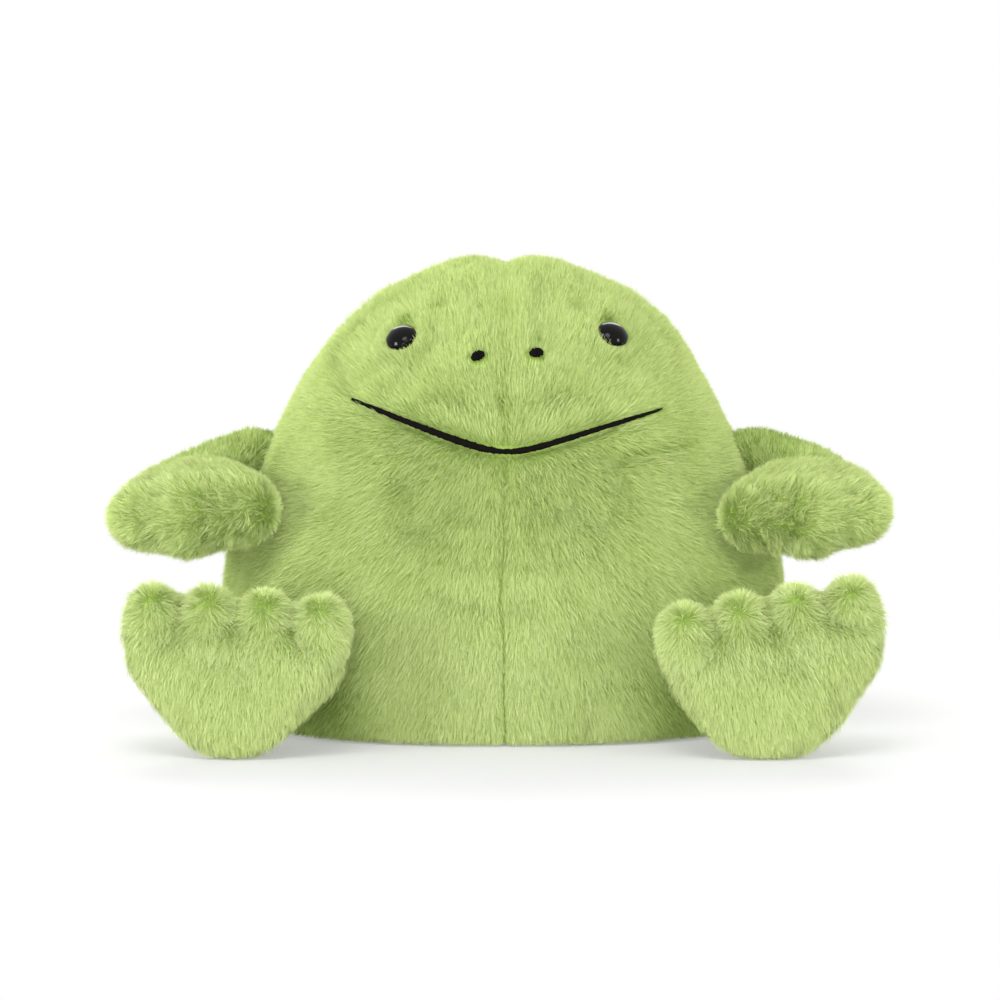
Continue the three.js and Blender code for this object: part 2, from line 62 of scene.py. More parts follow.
SEAT_LIFT = 0.6 * MM  # how far the seat's backing lies over the floor
STUFFING_FRAMES = 20

# Where things are, from the frame where it holds them

BELLY, BACK = 62 * MM, 60 * MM  # how deep the body is before and behind its widest line
BODY_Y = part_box("body_left_panel")[0].y + BELLY
HALF_WIDTH, _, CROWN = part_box("body_right_panel")[1]
FACE_X = 1 * MM  # how far to the right the face stands
SHOULDER, HIP = (
    Vector(next(j for j in frame["joints"] if j["name"] == name)["pos_m"])
    for name in ("right_shoulder", "right_hip")
)


# Shader expressions

class Wire:
    """A value in a material's node tree. Sums and products of wires add its Math nodes."""

    def __init__(self, tree, socket):
        self.tree, self.socket = tree, socket

    def _math(self, operation, other):
        return Recipe.add(self.tree, "ShaderNodeMath", {"operation": operation}, [self, other])

    def __add__(self, other):
        return self._math("ADD", other)

    def __mul__(self, other):
        return self._math("MULTIPLY", other)

    __radd__, __rmul__ = __add__, __mul__


class Recipe:
    """One material: node() adds any node from its type, its settings and its inputs."""

    def __init__(self, name):
        self.material = bpy.data.materials.new(name)
        self.material.use_nodes = True
        self.tree = self.material.node_tree
        self.tree.nodes.clear()

    @staticmethod
    def add(tree, kind, settings=(), inputs=(), output=0):
        made = tree.nodes.new(kind)
        for name, value in dict(settings).items():
            if name == "stops":
                ramp = made.color_ramp
                while len(ramp.elements) < len(value):
                    ramp.elements.new(0.5)
                for element, (place, colour) in zip(ramp.elements, value):
                    element.position, element.color = place, colour
            else:
                setattr(made, name, value)
        given = inputs.items() if isinstance(inputs, dict) else enumerate(inputs)
        for key, value in given:
            if isinstance(value, Wire):
                tree.links.new(value.socket, made.inputs[key])
            elif value is not None:
                made.inputs[key].default_value = value
        return Wire(tree, made.outputs[output])

    def node(self, kind, settings=(), inputs=(), output=0):
        return self.add(self.tree, kind, settings, inputs, output)

    def split(self, vector):
        parts = self.node("ShaderNodeSeparateXYZ", (), [vector]).socket.node
        return [Wire(self.tree, parts.outputs[i]) for i in range(3)]

    def blend(self, share, one, other):
        settings = {"data_type": "RGBA", "clamp_factor": True}
        return self.node("ShaderNodeMix", settings, {0: share, 6: one, 7: other}, 2)

    def noise(self, scale, detail):
        facts = {"Vector": self.place(), "Scale": scale, "Detail": detail}
        return self.node("ShaderNodeTexNoise", (), facts)

    def place(self):
        return self.node("ShaderNodeTexCoord", (), (), 3)

    def bumps(self, height, strength, depth):
        facts = {"Strength": strength, "Distance": depth, "Height": height}
        return self.node("ShaderNodeBump", (), facts)

    def finish(self, **sockets):
        named = {key.replace("_", " "): value for key, value in sockets.items()}
        shader = self.node("ShaderNodeBsdfPrincipled", (), named)
        return self.shown(shader)

    def shown(self, shader):
        out = self.tree.nodes.new("ShaderNodeOutputMaterial")
        self.tree.links.new(shader.socket, out.inputs[0])
        return self.material


def rgb(red, green, blue):
    """A colour written as it looks, 0 to 255."""
    def line(value):
        value /= 255
        return value / 12.92 if value <= 0.04045 else ((value + 0.055) / 1.055) ** 2.4
    return (line(red), line(green), line(blue), 1.0)


def pile_material():
    make = Recipe("plush_pile")
    tone, along, _ = make.split(make.node("ShaderNodeUVMap", {"uv_map": "OFBake"}))
    root = make.node("ShaderNodeValToRGB", {"stops": [
        (0.0, rgb(62, 84, 30)), (0.2, rgb(118, 145, 60)), (0.5, rgb(167, 191, 101)),
        (1.0, rgb(191, 212, 124))]}, [tone])
    tip = make.node("ShaderNodeValToRGB", {"stops": [
        (0.0, rgb(104, 130, 56)), (0.2, rgb(174, 200, 106)), (0.5, rgb(216, 231, 153)),
        (1.0, rgb(236, 246, 188))]}, [tone])
    return make.finish(Base_Color=make.blend(along, root, tip), Roughness=0.9,
                       Specular_IOR_Level=0.15)


def backing_material():
    make = Recipe("plush_backing")
    weave = make.noise(900.0, 2.0)
    colour = make.blend(weave, rgb(140, 168, 74), rgb(170, 196, 102))
    return make.finish(Base_Color=colour, Roughness=0.95, Specular_IOR_Level=0.1,
                       Normal=make.bumps(weave, 0.4, 0.4 * MM))


def thread_material():
    make = Recipe("black_stitching")
    fuzz = make.noise(2600.0, 3.0)
    colour = make.blend(fuzz, rgb(3, 2, 2), rgb(20, 17, 15))
    return make.finish(Base_Color=colour, Roughness=0.62 + 0.2 * fuzz, Specular_IOR_Level=0.06,
                       Normal=make.bumps(fuzz, 0.5, 0.2 * MM))


def eye_material():
    make = Recipe("black_button")
    wear = make.noise(320.0, 4.0)
    colour = make.blend(wear, rgb(1, 1, 1), rgb(8, 7, 6))
    return make.finish(Base_Color=colour, Roughness=0.03 + 0.03 * wear, Specular_IOR_Level=0.16)


def washer_material():
    make = Recipe("milky_plastic")
    haze = make.noise(400.0, 2.0)
    colour = make.blend(haze, rgb(214, 218, 218), rgb(236, 238, 238))
    return make.finish(Base_Color=colour, Roughness=0.35 + 0.15 * haze)


def background_seen(tree):
    """1 for the rays that see the background: the camera's, a mirror's and a glass's."""
    rays = Recipe.add(tree, "ShaderNodeLightPath").socket.node.outputs
    straight, glossy, through = (
        Wire(tree, rays[f"Is {kind} Ray"]) for kind in ("Camera", "Glossy", "Transmission")
    )
    return straight + glossy + through


def floor_material():
    make = Recipe("white_sweep")
    seen = background_seen(make.tree)
    far = make.node("ShaderNodeVectorMath", {"operation": "LENGTH"}, [make.place()], "Value")
    near, gone = 0.16, 0.3  # metres from the middle where the floor starts to fade and is gone
    away = make.node("ShaderNodeMapRange", {"clamp": True}, {0: far, 1: near, 2: gone})
    cloth = make.node("ShaderNodeBsdfDiffuse", (), {"Color": (0.93, 0.93, 0.93, 1)})
    glow = make.node("ShaderNodeEmission", (), {"Color": (1, 1, 1, 1), "Strength": 1.0})
    lift = make.node("ShaderNodeMixShader", (), [seen * (0.3 + 0.7 * away), cloth, glow])
    return make.shown(lift)


# Forms


def eased(share):
    """A share from 0 to 1 that starts and ends softly."""
    return share * share * (3 - 2 * share)


def hill(values, width):
    """1 where a value is 0, and less and less on both sides of it."""
    return np.exp(-((values / width) ** 2))


# Height, side, front and back of the body's sections, as shares, from the seat to the crown
BODY_SHARES = [
    (0, .88, .92, .87), (.04, .945, .967, .945), (.14, .985, .99, .98), (.3, 1, 1, 1),
    (.47, .94, .97, .955), (.64, .797, .87, .84), (.77, .684, .75, .71), (.88, .56, .595, .545),
    (.955, .375, .38, .35), (.99, .185, .18, .17), (1, 0, 0, 0),
]
BODY_POWER = 2.2  # 2 would make its sections ellipses


def rounded_line(rows, count=600):
    """A smooth line through the rows, as count rows."""
    rows = np.array(rows, float)
    rows = np.vstack([2 * rows[0] - rows[1], rows, 2 * rows[-1] - rows[-2]])
    way = np.linspace(0, len(rows) - 3 - 1e-9, count)
    i = way.astype(int)
    t = (way - i)[:, None]
    a, b, c, d = rows[i], rows[i + 1], rows[i + 2], rows[i + 3]
    return (b + (c - a) * t / 2 + (2 * a - 5 * b + 4 * c - d) * t ** 2 / 2
            + (3 * b - a - 3 * c + d) * t ** 3 / 2)


BODY_LINE = rounded_line(BODY_SHARES)


def body_section(height, inset):
    """Half-widths of the body at a height: side, front and back."""
    share = (height - SEAT_LIFT) / (CROWN - inset - SEAT_LIFT)
    side, front, back = (np.interp(share, BODY_LINE[:, 0], BODY_LINE[:, k]) for k in (1, 2, 3))
    return side * (HALF_WIDTH - inset), front * (BELLY - inset), back * (BACK - inset)


def in_body(points, inset):
    """Below 1 where a point is inside the body's form."""
    side, front, back = body_section(points[:, 2], inset)
    y = points[:, 1] - BODY_Y
    depth = np.where(y > 0, back, front)
    share = (np.abs(points[:, 0]) / np.maximum(side, 1e-6)) ** BODY_POWER
    share = share + (np.abs(y) / np.maximum(depth, 1e-6)) ** BODY_POWER
    beyond = (points[:, 2] < SEAT_LIFT) | (points[:, 2] > CROWN - inset)
    return np.where(beyond, 9.0, share)


def face_point(x, height, inset=0.0):
    """The point of the body straight behind a place in the front view."""
    side, front, _ = body_section(height, inset)
    fall = max(1 - abs(x / side) ** BODY_POWER, 0) ** (1 / BODY_POWER)
    return Vector((x, BODY_Y - front * fall, height))


def face_normal(x, height, inset=0.0):
    """The way straight out of the body there."""
    step = 0.5 * MM
    across = face_point(x + step, height, inset) - face_point(x - step, height, inset)
    up = face_point(x, height + step, inset) - face_point(x, height - step, inset)
    return across.cross(up).normalized()


def new_piece(name, mesh):
    piece = bpy.data.objects.new(name, mesh)
    bpy.context.scene.collection.objects.link(piece)
    return piece


def piece_of(name, shape):
    mesh = bpy.data.meshes.new(name)
    shape.to_mesh(mesh)
    shape.free()
    return new_piece(name, mesh)


def smooth_faces(piece):
    for face in piece.data.polygons:
        face.use_smooth = True


def corners_of(mesh):
    places = np.empty(len(mesh.vertices) * 3, np.float32)
    mesh.vertices.foreach_get("co", places)
    return places.reshape(-1, 3).astype(float)


def normals_of(mesh):
    normals = np.empty(len(mesh.vertices) * 3, np.float32)
    mesh.vertex_normals.foreach_get("vector", normals)
    return normals.reshape(-1, 3)


def place_corners(mesh, places):
    mesh.vertices.foreach_set("co", places.astype(np.float32).ravel())
    mesh.update()


def settle(piece):
    """Gives the piece the mesh that its modifiers make."""
    bpy.context.view_layer.update()
    graph = bpy.context.evaluated_depsgraph_get()
    mesh = bpy.data.meshes.new_from_object(piece.evaluated_get(graph))
    piece.modifiers.clear()
    old, piece.data = piece.data, mesh
    bpy.data.meshes.remove(old)


def smoothed(piece, voxel, rounds):
    """One even skin round all that is in the piece."""
    remesh = piece.modifiers.new("skin", "REMESH")
    remesh.mode, remesh.voxel_size = "VOXEL", voxel
    relax = piece.modifiers.new("relax", "SMOOTH")
    relax.factor, relax.iterations = 0.5, rounds
    settle(piece)
    smooth_faces(piece)
    return piece


def stuff(piece, seams, cap):
    """Swells a cover as its filling does, held along its seams: simulated as cloth, and no
    corner moves further than the cap."""
    before = corners_of(piece.data)
    held = piece.vertex_groups.new(name="seams")
    held.add(np.flatnonzero(seams(before)).tolist(), 1.0, "REPLACE")
    cloth = piece.modifiers.new("stuffing", "CLOTH")
    cloth.settings.vertex_group_mass = "seams"
    cloth.settings.use_pressure = True
    cloth.settings.uniform_pressure_force = 4
    cloth.settings.shrink_min = -0.03
    cloth.settings.effector_weights.gravity = 0
    cloth.collision_settings.use_collision = False
    for moment in range(1, STUFFING_FRAMES + 1):
        bpy.context.scene.frame_set(moment)
    settle(piece)
    bpy.context.scene.frame_set(1)
    piece.vertex_groups.clear()
    shift = corners_of(piece.data) - before
    far = np.linalg.norm(shift, axis=1, keepdims=True)
    place_corners(piece.data, before + shift * np.minimum(1, cap / np.maximum(far, 1e-9)))


def subdivide(piece):
    finer = piece.modifiers.new("finer", "SUBSURF")
    finer.levels = finer.render_levels = 1
    settle(piece)
    smooth_faces(piece)


def body_form():
    """The body's cover: a ball whose lower cap becomes the flat seat and whose other rings
    become the body's sections, spread evenly along its outline."""
    def bend(value):
        return math.copysign(abs(value) ** (2 / BODY_POWER), value)

    inset = PILE_DEPTH
    shape = bmesh.new()
    bmesh.ops.create_uvsphere(shape, u_segments=112, v_segments=84, radius=1)
    under = 0.14  # the share of the ball's rings that becomes the seat
    heights, widths = BODY_LINE[:, 0], BODY_LINE[:, 1:]
    steps = np.hypot(np.diff(heights) * CROWN, np.diff(widths[:, 0]) * HALF_WIDTH)
    way = np.concatenate([[0], np.cumsum(steps)])
    way /= way[-1]
    for corner in shape.verts:
        x, y, z = corner.co
        turn = math.acos(max(-1, min(1, -z))) / math.pi
        angle = math.atan2(y, x)
        along = max(0.0, (turn - under) / (1 - under))
        share = float(np.interp(along, way, heights))
        side, front, back = (float(np.interp(along, way, widths[:, k])) for k in range(3))
        spread = min(1.0, turn / under)
        height = SEAT_LIFT + share * (CROWN - inset - SEAT_LIFT)
        depth = back * (BACK - inset) if y > 0 else front * (BELLY - inset)
        if abs(z) > 1 - 1e-6:
            corner.co = Vector((0, BODY_Y, height))
            continue
        corner.co = Vector((
            side * (HALF_WIDTH - inset) * bend(math.cos(angle)) * spread,
            BODY_Y + depth * bend(math.sin(angle)) * spread,
            height,
        ))
    return piece_of("body_form", shape)


def add_strip(shape, start, end, matrix):
    """A hull round two balls, each a middle and radii in the matrix's frame."""
    balls = bmesh.new()
    for middle, radii in (start, end):
        turn = matrix @ Matrix.Translation(middle) @ Matrix.Diagonal((*radii, 1))
        bmesh.ops.create_uvsphere(balls, u_segments=28, v_segments=18, radius=1, matrix=turn)
    made = bmesh.ops.convex_hull(balls, input=balls.verts)
    inside = made["geom_interior"] + made["geom_unused"]
    spare = {item for item in inside if isinstance(item, bmesh.types.BMVert)}
    bmesh.ops.delete(balls, geom=list(spare), context="VERTS")
    part = bpy.data.meshes.new("strip")
    balls.to_mesh(part)
    balls.free()
    shape.from_mesh(part)
    bpy.data.meshes.remove(part)


class Fan:
    """Padded hand or foot: its frame, with the digits along Y, and its measures. The heel is its
    place across, its radii and its share of the thickness, a digit or pad its place, radius and
    share, roots the digits' reach, spread and radius where they start, web the share of the
    tips that joins them, a whorl a place where the pile stands in a tuft, and a stem its start
    along the limb, its radius there, its end and its radius there."""

    def __init__(self, matrix, digits, roots, heel, pads, thickness, web, whorls, stems):
        self.matrix, self.digits, self.roots, self.heel = matrix, digits, roots, heel
        self.pads, self.thickness, self.web = pads, thickness, web
        self.whorls, self.stems = whorls, stems

    def form(self, name, line):
        shape = bmesh.new()
        inset = PILE_DEPTH
        half = self.thickness - inset
        heel_x, heel_wide, heel_radius, heel_thick = self.heel
        heel = (Vector((heel_x, 0, 0)),
                (heel_wide - inset, heel_radius - inset, half * heel_thick))
        pads = [(Vector((x, y, 0)), (radius - inset, radius - inset, half * thick))
                for x, y, radius, thick in self.pads]
        for one, other in ((heel, pads[0]), (heel, pads[1]), pads):
            add_strip(shape, one, other, self.matrix)
        reach, gather, wide = self.roots
        tips = []
        for x, y, size, thick in self.digits:
            root = (Vector((x * gather, reach, 0)),
                    (wide - inset, wide - inset, half * (0.45 + thick * 0.55)))
            tips.append((Vector((x, y, 0)), (size - inset, size - inset, half * thick)))
            add_strip(shape, root, tips[-1], self.matrix)
        if self.web:
            for one, other in zip(tips, tips[1:]):
                ends = [(middle, [v * self.web for v in radii]) for middle, radii in (one, other)]
                add_strip(shape, *ends, self.matrix)
        start, end = line
        for share, radius, to, to_radius in self.stems:
            near, far = radius - inset, to_radius - inset
            goal = self.matrix @ to if isinstance(to, Vector) else start.lerp(end, to)
            add_strip(shape, (start.lerp(end, share), (near,) * 3), (goal, (far,) * 3),
                      Matrix.Identity(4))
        return piece_of(name, shape)


def frame_matrix(across, along, out, origin):
    turn = Matrix((across, along, out)).transposed().to_4x4()
    return Matrix.Translation(origin) @ turn


def digit_row(pitch, reach, stagger, radius, thick):
    """Digits side by side, one for each thickness: the outer ones stand back by the stagger."""
    middle = (len(thick) - 1) / 2
    return [((middle - i) * pitch, reach - radius - stagger * abs((middle - i) / middle), radius,
             share) for i, share in enumerate(thick)]


def hand_fan(side):
    """A hand as it is on the right side, and its arm's line from the shoulder to the wrist."""
    droop, forward = math.radians(12), math.radians(28)
    out = Vector((math.cos(droop) * math.cos(forward), -math.cos(droop) * math.sin(forward),
                  -math.sin(droop)))
    wrist = SHOULDER + out * 19 * MM
    inward = math.radians(0 if side == "left" else -4)
    roll = math.radians(5 if side == "left" else -2)
    turn = (Matrix.Rotation(inward, 4, "Z") @ Matrix.Rotation(math.radians(7), 4, "X")
            @ Matrix.Rotation(roll, 4, "Y"))
    fingers = (turn @ Vector((0, -1, 0))).normalized()
    up = (turn @ Vector((0, 0, 1))).normalized()
    across = fingers.cross(up)
    digits = digit_row(12.8 * MM, 47 * MM, 4 * MM, 10.8 * MM, (0.8, 1.0, 0.72))
    digits[0] = (15.4 * MM, *digits[0][1:])  # the inner finger spreads further
    whorls = [Vector((digits[0][0] + 5 * MM, digits[0][1] + 6 * MM, 1 * MM))]
    stems = (
        (0, 12.9 * MM, 1.0, (11.2 if side == "left" else 12.1) * MM),
        (0, 12.3 * MM, Vector((-7 * MM, 12 * MM, -1 * MM)), 10 * MM),
    )
    pads = ((10 * MM, 18 * MM, 10.5 * MM, 0.86), (-10 * MM, 18 * MM, 10.5 * MM, 0.76))
    fan = Fan(frame_matrix(across, fingers, up, wrist), digits, (18 * MM, 0.6, 10.8 * MM),
              (0, 12.4 * MM, 12.4 * MM, 0.8), pads, 12.6 * MM, 0.94, whorls, stems)
    return fan, (SHOULDER, wrist)


def foot_fan(side):
    """A foot as it is on the right side, and its leg's line from the hip forward."""
    lean, yaw = math.radians(-8), math.radians(6)
    roll = math.radians(-3 if side == "left" else -8.5)
    turn = (Matrix.Rotation(yaw, 4, "Z") @ Matrix.Rotation(lean, 4, "X")
            @ Matrix.Rotation(roll, 4, "Y"))
    across = turn @ Vector((1, 0, 0))
    toes = turn @ Vector((0, 0, 1))
    sole = across.cross(toes)
    heel_radius = 21.5 * MM
    rise = heel_radius * math.cos(lean) - 0.9 * MM
    heel = Vector(((73.0 if side == "left" else 74.2) * MM, BODY_Y - 78 * MM, rise))
    wide = (0, 22 * MM) if side == "left" else (-2.2 * MM, 24.5 * MM)
    end = Vector((heel.x, heel.y, (rise + HIP.z) / 2))
    digits = digit_row(15.3 * MM, 27.2 * MM, 0.6 * MM, 8.8 * MM, (0.8,) * 4)
    whorls = [Vector((x, y + radius * 0.45, 6.5 * MM)) for x, y, radius, _ in digits]
    pads = ((17.5 * MM, 7 * MM, 13.5 * MM, 0.93), (-17.5 * MM, 7 * MM, 13.5 * MM, 0.93))
    fan = Fan(frame_matrix(across, toes, sole, heel), digits, (11 * MM, 0.93, 10.6 * MM),
              (*wide, heel_radius, 0.97), pads, 11.3 * MM, 0.45, whorls,
              ((0, 11 * MM, 1.0, 12.5 * MM),))
    return fan, (HIP, end)


def on_face(x, height, lift, turn=0.0):
    """A frame on the face: X along it, Y up it, Z out of it, turned about Z."""
    out = face_normal(x, height, PILE_DEPTH)
    across = Vector((0, 0, 1)).cross(out).normalized()
    origin = face_point(x, height, PILE_DEPTH) + out * lift
    return frame_matrix(across, out.cross(across), out, origin) @ Matrix.Rotation(turn, 4, "Z")


def mirror(piece):
    places = corners_of(piece.data)
    places[:, 0] *= -1
    place_corners(piece.data, places)
    piece.data.flip_normals()


# Pile

ROOT_DEPTH = 0.4  # millimetres that a strand starts under the form
FLOOR_GAP = 0.1 * MM  # the least height of a strand over the floor
LOCK_SIZE = 1.7 * MM
MOST_LIFT, WEAK_LIFT = 88, 34  # degrees, at most and added where the flow is weak


def drift(points, grain, seed):
    """Smooth noise from -1 to 1, with lumps of the size of grain."""
    side = 32
    cells = np.random.default_rng(seed).uniform(-1, 1, (side, side, side))
    place = points / grain + 100
    base = np.floor(place).astype(int)
    part = eased(place - base)
    total = np.zeros(len(points))
    for corner in np.ndindex(2, 2, 2):
        weight = np.prod(np.where(corner, part, 1 - part), axis=1)
        i = (base + corner) % side
        total += weight * cells[i[:, 0], i[:, 1], i[:, 2]]
    return total


def drifts(points, grain, seed):
    return np.stack([drift(points, grain, seed + k) for k in range(3)], 1)


def unit(vectors):
    return vectors / np.maximum(np.linalg.norm(vectors, axis=1, keepdims=True), 1e-9)


def laid(vectors, normals):
    """The part of each vector that lies along the surface, one long."""
    return unit(vectors - normals * (vectors * normals).sum(1, keepdims=True))


def roots_on(piece, per_mm2, seed):
    """Places all over a form and the form's normals there."""
    mesh = piece.data
    mesh.calc_loop_triangles()
    corners, normals = corners_of(mesh), normals_of(mesh).astype(float)
    faces = np.empty(len(mesh.loop_triangles) * 3, np.int32)
    mesh.loop_triangles.foreach_get("vertices", faces)
    faces = faces.reshape(-1, 3)
    a, b, c = (corners[faces[:, k]] for k in range(3))
    area = np.linalg.norm(np.cross(b - a, c - a), axis=1) / 2
    count = int(area.sum() / MM ** 2 * per_mm2)
    dice = np.random.default_rng(seed)
    steps = (np.arange(count) + dice.random(count)) / count
    chosen = np.searchsorted(np.cumsum(area) / area.sum(), steps)
    chosen = np.minimum(chosen, len(faces) - 1)
    u, v = dice.random(count), dice.random(count)
    fold = u + v > 1
    u[fold], v[fold] = 1 - u[fold], 1 - v[fold]
    weights = np.stack([1 - u - v, u, v], 1)[:, :, None]
    picked = faces[chosen]
    return (corners[picked] * weights).sum(1), unit((normals[picked] * weights).sum(1))


def locks(roots, size, seed):
    """The lock of pile that each root belongs to: its number, and the way to its middle."""
    astray = 0.6 * size * drifts(roots, 1.6 * size, seed)
    cell = np.floor((roots + astray) / size).astype(np.int64) + 512
    _, lock = np.unique(cell @ np.array([1, 1024, 1024 ** 2]), return_inverse=True)
    count = np.bincount(lock)
    middle = np.stack([np.bincount(lock, roots[:, k]) / count for k in range(3)], 1)
    return lock, middle[lock] - roots


def coat(roots, normals, way, length, lift, tone, gather, width, bent, seed):
    """Tapered strands: corners, faces and map places. A bent one is a narrow four-sided face
    and a pointed one, a straight one a pointed face alone. The map runs from root to tip one
    way, and from dark to light strands the other way."""
    dice = np.random.default_rng(seed)
    count = len(roots)
    lift, length = lift[:, None], length[:, None]
    lean = lambda share: np.sin(lift * share) * normals + np.cos(lift * share) * way
    roll = dice.normal(0, 0.35, count)[:, None]
    across = np.cos(roll) * np.cross(way, normals) + np.sin(roll) * normals
    across *= (dice.uniform(0.75, 1.25, count) * width / 2)[:, None]
    root = roots - normals * ROOT_DEPTH * MM
    if bent:
        # 55 % of its length stands at the full lift, and the rest at 35 % of it
        middle = roots + lean(1) * length * 0.55 + gather * 0.4
        tip = middle + lean(0.35) * length * 0.45 + gather * 0.6
        half = across * 0.84
        corners = [root - across, root + across, middle + half, middle - half, tip]
        order, sizes = [0, 1, 2, 3, 3, 2, 4], [4, 3]
        sideways, along = [-1, 1, 1, -1, -1, 1, 0], [0.01, 0.01, 0.5, 0.5, 0.5, 0.5, 0.99]
    else:
        corners = [root - across, root + across, roots + lean(0.85) * length + gather * 0.8]
        order, sizes = [0, 1, 2], [3]
        sideways, along = [-1, 1, 0], [0.01, 0.01, 0.99]
    places = np.stack(corners, 1)
    places[:, :, 2] = np.maximum(places[:, :, 2], FLOOR_GAP)
    first = (np.arange(count) * len(corners))[:, None]
    tone = np.clip(tone, 0.02, 0.98)[:, None] + np.array(sideways) * 0.006
    chart = np.stack([tone, np.broadcast_to(along, tone.shape)], 2)
    sizes = np.tile(sizes, count)
    return places.reshape(-1, 3), (first + order).ravel(), sizes, chart.reshape(-1, 2)


def strands(name, coats):
    """One mesh of several coats."""
    mesh = bpy.data.meshes.new(name)
    places = np.concatenate([c[0] for c in coats])
    before = np.cumsum([0] + [len(c[0]) for c in coats])[:-1]
    corners = np.concatenate([c[1] + n for c, n in zip(coats, before)])
    sizes = np.concatenate([c[2] for c in coats])
    chart = np.concatenate([c[3] for c in coats])
    mesh.vertices.add(len(places))
    mesh.vertices.foreach_set("co", places.astype(np.float32).ravel())
    mesh.loops.add(len(corners))
    mesh.loops.foreach_set("vertex_index", corners.astype(np.int32))
    mesh.polygons.add(len(sizes))
    starts = np.concatenate([[0], np.cumsum(sizes)[:-1]])
    mesh.polygons.foreach_set("loop_start", starts.astype(np.int32))
    mesh.polygons.foreach_set("use_smooth", np.ones(len(sizes), bool))
    mesh.update(calc_edges=True)
    layer = mesh.uv_layers.new(name="OFBake")
    layer.data.foreach_set("uv", chart.astype(np.float32).ravel())
    mesh.validate()
    return new_piece(name, mesh)


# Strands to a square millimetre, their length, its spread as a share, width, lift in degrees
# and shade: a short straight coat under a longer one that bends over.
COATS = (
    dict(per_mm2=13.0, length=2.9, spread=0.25, width=0.21, lift=52, bent=False, shade=-0.05),
    dict(per_mm2=3.0, length=3.6, spread=0.4, width=0.15, lift=43, bent=True, shade=0.05),
)

PILE = pile_material()
BACKING = backing_material()


def combed(roots, normals, way, seed, swirl):
    """The way that the pile lies, with the small turns of locks in it, and how far it stands
    up where the flow is weak."""
    stray, broad = drifts(roots, 2.2 * MM, seed), drifts(roots, 9 * MM, seed + 5)
    noise = np.random.default_rng(seed + 9).normal(0, 0.12, roots.shape)
    along = way - normals * (way * normals).sum(1, keepdims=True)
    strength = np.linalg.norm(along, axis=1)
    along /= np.maximum(strength, 1)[:, None]
    upright = np.clip(1 - strength, 0, 1) ** 2
    return laid(along + swirl[:, None] * stray + 0.13 * broad + noise, normals), upright


def tones(roots, seed, base=0.5):
    dice = np.random.default_rng(seed + 20)
    return base + 0.1 * drift(roots, 9 * MM, seed + 11) + dice.normal(0, 0.09, len(roots))


class Pile:
    """Pile on a form, sorted into pieces by a rule and laid in both coats."""

    def __init__(self, form, seed, where):
        self.coats, self.seed = [], seed
        for k, facts in enumerate(COATS):
            roots, normals = roots_on(form, facts["per_mm2"], seed + k)
            keep = where(roots, normals)
            self.coats.append((facts, seed + 100 * (k + 1), roots[keep], normals[keep]))
        self.parts = {}

    def lay(self, flow, sort, look, base=0.5, clump=0.3):
        """flow gives the way that it lies, sort the piece's name, and look a share of the
        length, degrees of lift, a shade to add, how far its locks gather and how it swirls."""
        for facts, seed, roots, normals in self.coats:
            shorter, raised, shade, gathers, swirl = look(roots, normals)

            # Each lock leans, stands and is shaded in its own way
            lock, inward = locks(roots, LOCK_SIZE, self.seed)
            dice = np.random.default_rng(self.seed + 40)
            astray = dice.normal(0, 1, (lock.max() + 1, 3))[lock]
            way, upright = combed(roots, normals, flow(roots, normals, seed), seed, swirl)
            way = laid(way + 0.22 * gathers[:, None] * astray, normals)

            # Length, lift and tone differ from strand to strand and from place to place
            dice = np.random.default_rng(seed + 30)
            low, high = 1 - facts["spread"], 1 + facts["spread"] * 0.7
            length = facts["length"] * MM * dice.uniform(low, high, len(roots)) * shorter
            length *= 1 + 0.1 * drift(roots, 6 * MM, seed + 31) + 0.07 * astray[:, 0]
            lift = facts["lift"] + raised + 7 * drift(roots, 3 * MM, seed + 32) + 4 * astray[:, 1]
            lift = lift + WEAK_LIFT * upright + dice.normal(0, 6, len(roots))
            lift = np.radians(np.minimum(lift, MOST_LIFT))
            # Strands that stand up where the flow is weak are darker: painted shade where the pile
            # parts
            tone = tones(roots, seed, base + facts["shade"]) + shade - 0.1 * upright
            tone += 0.07 * gathers * astray[:, 2]
            gather = inward * (clump * gathers)[:, None]
            names = sort(roots)
            for name in np.unique(names):
                pick = names == name
                made = coat(roots[pick], normals[pick], way[pick], length[pick], lift[pick],
                            tone[pick], gather[pick], facts["width"] * MM, facts["bent"], seed + 33)
                self.parts.setdefault(str(name), []).append(made)

    def pieces(self):
        for name, coats in sorted(self.parts.items()):
            piece = strands(name, coats)
            piece.data.materials.append(PILE)
            yield piece


# Body

MOUTH = face_point(FACE_X, 83 * MM)
EYE_HEIGHT, EYE_X = 0.845 * CROWN - 1.0 * MM, 28.8 * MM
NOSTRIL_HEIGHT, NOSTRIL_X = 0.811 * CROWN - 1.2 * MM, 7.9 * MM
MOUTH_HALF = 42 * MM
CREASE_X = 38 * MM

SEAT_TOP = 3 * MM

body = smoothed(body_form(), 2.4 * MM, 4)
stuff(body, lambda p: (np.abs(p[:, 0]) < 1.4 * MM) | (p[:, 2] < SEAT_TOP), 1.2 * MM)
subdivide(body)


def seam_place(height):
    """Where the middle seam runs at a height: it wanders a little."""
    return 0.45 * MM * np.sin(height / (9 * MM)) + 0.3 * MM * np.sin(height / (4.1 * MM) + 1)


def mouth_height(x):
    """The mouth line's height over the floor, at a distance from its middle."""
    bend = lambda place: np.hypot(place, 10 * MM) - 10 * MM
    rise = 12 * MM * bend(np.minimum(np.abs(x), MOUTH_HALF)) / bend(41 * MM)
    drop = 2.7 * MM * (np.clip(x, 0, MOUTH_HALF) / MOUTH_HALF) ** 1.8  # of the right corner
    return 0.614 * CROWN + rise - drop - 0.6 * MM * hill(x, 14 * MM)


